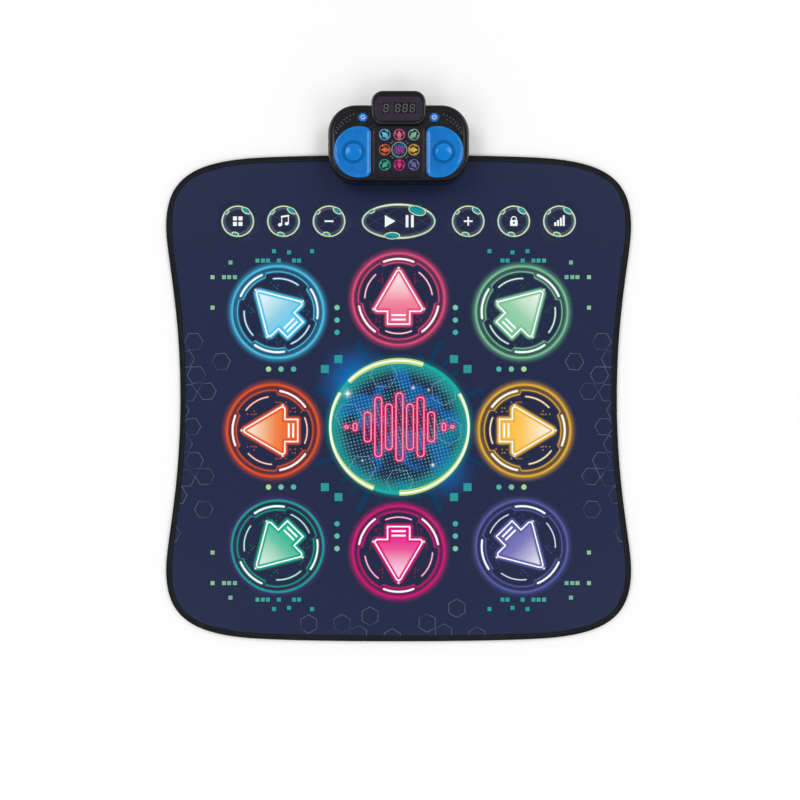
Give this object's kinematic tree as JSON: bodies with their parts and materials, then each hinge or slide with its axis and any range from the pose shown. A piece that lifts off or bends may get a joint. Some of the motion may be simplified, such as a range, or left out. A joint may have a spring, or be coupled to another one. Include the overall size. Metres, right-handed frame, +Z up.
{
  "type": "electronic dance mat",
  "caption": "Flat dance mat with round arrow step pads and a row of control pads, bound at the edge, with a low music box with speakers and a raised display over its rear edge.",
  "frame": {"origin": "middle of the mat's outline, on the floor", "axes": "+X to the player's right, +Y towards the music box, +Z up"},
  "size_m": [0.88, 1.025, 0.05],
  "materials": {
    "base_rubber": "matte",
    "binding_tape": "matte",
    "cover_film": "satin",
    "circuit_film": "satin",
    "foam": "matte",
    "case_black": "satin",
    "case_blue": "satin",
    "panel_print": "satin",
    "smoked_lens": "gloss",
    "display_black": "satin",
    "board": "satin",
    "white_plastic": "matte",
    "steel": "satin",
    "cone_rubber": "matte",
    "cell_wrap": "satin"
  },
  "bodies": {
    "mat_and_box": {"anti_slip_base": "base_rubber", "lower_circuit": "circuit_film", "spacer_foam": "foam", "upper_circuit": "circuit_film", "top_cover": "cover_film", "edge_binding": "binding_tape", "clamp_plate": "steel", "ribbon_tail": "circuit_film", "case_bottom": "case_black", "case_top": "case_black", "arrow_panel": "panel_print", "screen_lens": "smoked_lens", "grille_left": "case_blue", "grille_right": "case_blue", "speaker_left": "steel", "speaker_right": "steel", "mode_switch": "white_plastic", "power_switch": "white_plastic", "main_board": "board", "key_board": "board", "light_guide": "white_plastic", "ribbon_connector": "white_plastic", "display_level": "display_black", "display_score": "display_black", "battery_cell_1": "cell_wrap", "battery_cell_2": "cell_wrap", "battery_cell_3": "cell_wrap", "contact_spring": "steel", "contact_plate": "steel", "case_screw_1": "steel", "case_screw_2": "steel", "case_screw_3": "steel", "case_screw_4": "steel", "clamp_screw_left": "steel", "clamp_screw_right": "steel", "rear_foot_left": "base_rubber", "rear_foot_right": "base_rubber", "usb_socket": "steel", "audio_socket": "case_black"},
    "step_pad_up_left": {"step_pad_up_left": "cover_film"},
    "step_pad_up": {"step_pad_up": "cover_film"},
    "step_pad_up_right": {"step_pad_up_right": "cover_film"},
    "step_pad_left": {"step_pad_left": "cover_film"},
    "step_pad_right": {"step_pad_right": "cover_film"},
    "step_pad_down_left": {"step_pad_down_left": "cover_film"},
    "step_pad_down": {"step_pad_down": "cover_film"},
    "step_pad_down_right": {"step_pad_down_right": "cover_film"},
    "control_pad_memory": {"control_pad_memory": "cover_film"},
    "control_pad_mode": {"control_pad_mode": "cover_film"},
    "control_pad_quieter": {"control_pad_quieter": "cover_film"},
    "control_pad_start": {"control_pad_start": "cover_film"},
    "control_pad_louder": {"control_pad_louder": "cover_film"},
    "control_pad_lock": {"control_pad_lock": "cover_film"},
    "control_pad_level": {"control_pad_level": "cover_film"},
    "mode_button": {"mode_button": "case_blue"},
    "power_button": {"power_button": "case_blue"},
    "speaker_cone_left": {"speaker_cone_left": "cone_rubber"},
    "speaker_cone_right": {"speaker_cone_right": "cone_rubber"},
    "battery_door": {"battery_door": "case_black", "door_screw": "steel"}
  },
  "joints": [
    {"name": "step_pad_up_left_press", "type": "slide", "parent": "mat_and_box", "child": "step_pad_up_left", "axis": [0, 0, -1], "range_m": [0, 0.0015], "stiffness_N_per_m": 2000, "springref_m": -0.0005},
    {"name": "step_pad_up_press", "type": "slide", "parent": "mat_and_box", "child": "step_pad_up", "axis": [0, 0, -1], "range_m": [0, 0.0015], "stiffness_N_per_m": 2000, "springref_m": -0.0005},
    {"name": "step_pad_up_right_press", "type": "slide", "parent": "mat_and_box", "child": "step_pad_up_right", "axis": [0, 0, -1], "range_m": [0, 0.0015], "stiffness_N_per_m": 2000, "springref_m": -0.0005},
    {"name": "step_pad_left_press", "type": "slide", "parent": "mat_and_box", "child": "step_pad_left", "axis": [0, 0, -1], "range_m": [0, 0.0015], "stiffness_N_per_m": 2000, "springref_m": -0.0005},
    {"name": "step_pad_right_press", "type": "slide", "parent": "mat_and_box", "child": "step_pad_right", "axis": [0, 0, -1], "range_m": [0, 0.0015], "stiffness_N_per_m": 2000, "springref_m": -0.0005},
    {"name": "step_pad_down_left_press", "type": "slide", "parent": "mat_and_box", "child": "step_pad_down_left", "axis": [0, 0, -1], "range_m": [0, 0.0015], "stiffness_N_per_m": 2000, "springref_m": -0.0005},
    {"name": "step_pad_down_press", "type": "slide", "parent": "mat_and_box", "child": "step_pad_down", "axis": [0, 0, -1], "range_m": [0, 0.0015], "stiffness_N_per_m": 2000, "springref_m": -0.0005},
    {"name": "step_pad_down_right_press", "type": "slide", "parent": "mat_and_box", "child": "step_pad_down_right", "axis": [0, 0, -1], "range_m": [0, 0.0015], "stiffness_N_per_m": 2000, "springref_m": -0.0005},
    {"name": "control_pad_memory_press", "type": "slide", "parent": "mat_and_box", "child": "control_pad_memory", "axis": [0, 0, -1], "range_m": [0, 0.0015], "stiffness_N_per_m": 500, "springref_m": -0.0005},
    {"name": "control_pad_mode_press", "type": "slide", "parent": "mat_and_box", "child": "control_pad_mode", "axis": [0, 0, -1], "range_m": [0, 0.0015], "stiffness_N_per_m": 500, "springref_m": -0.0005},
    {"name": "control_pad_quieter_press", "type": "slide", "parent": "mat_and_box", "child": "control_pad_quieter", "axis": [0, 0, -1], "range_m": [0, 0.0015], "stiffness_N_per_m": 500, "springref_m": -0.0005},
    {"name": "control_pad_start_press", "type": "slide", "parent": "mat_and_box", "child": "control_pad_start", "axis": [0, 0, -1], "range_m": [0, 0.0015], "stiffness_N_per_m": 800, "springref_m": -0.0005},
    {"name": "control_pad_louder_press", "type": "slide", "parent": "mat_and_box", "child": "control_pad_louder", "axis": [0, 0, -1], "range_m": [0, 0.0015], "stiffness_N_per_m": 500, "springref_m": -0.0005},
    {"name": "control_pad_lock_press", "type": "slide", "parent": "mat_and_box", "child": "control_pad_lock", "axis": [0, 0, -1], "range_m": [0, 0.0015], "stiffness_N_per_m": 500, "springref_m": -0.0005},
    {"name": "control_pad_level_press", "type": "slide", "parent": "mat_and_box", "child": "control_pad_level", "axis": [0, 0, -1], "range_m": [0, 0.0015], "stiffness_N_per_m": 500, "springref_m": -0.0005},
    {"name": "mode_button_press", "type": "slide", "parent": "mat_and_box", "child": "mode_button", "axis": [0, 0, -1], "range_m": [0, 0.001], "stiffness_N_per_m": 250, "springref_m": -0.001},
    {"name": "power_button_press", "type": "slide", "parent": "mat_and_box", "child": "power_button", "axis": [0, 0, -1], "range_m": [0, 0.001], "stiffness_N_per_m": 250, "springref_m": -0.001},
    {"name": "speaker_cone_left_stroke", "type": "slide", "parent": "mat_and_box", "child": "speaker_cone_left", "axis": [0, 0, 1], "range_m": [-0.001, 0.001], "stiffness_N_per_m": 200},
    {"name": "speaker_cone_right_stroke", "type": "slide", "parent": "mat_and_box", "child": "speaker_cone_right", "axis": [0, 0, 1], "range_m": [-0.001, 0.001], "stiffness_N_per_m": 200},
    {"name": "battery_door_hinge", "type": "hinge", "parent": "mat_and_box", "child": "battery_door", "pos_m": [0, 0.5325, 0.0065], "axis": [1, 0, 0], "range_deg": [0, 60]}
  ]
}
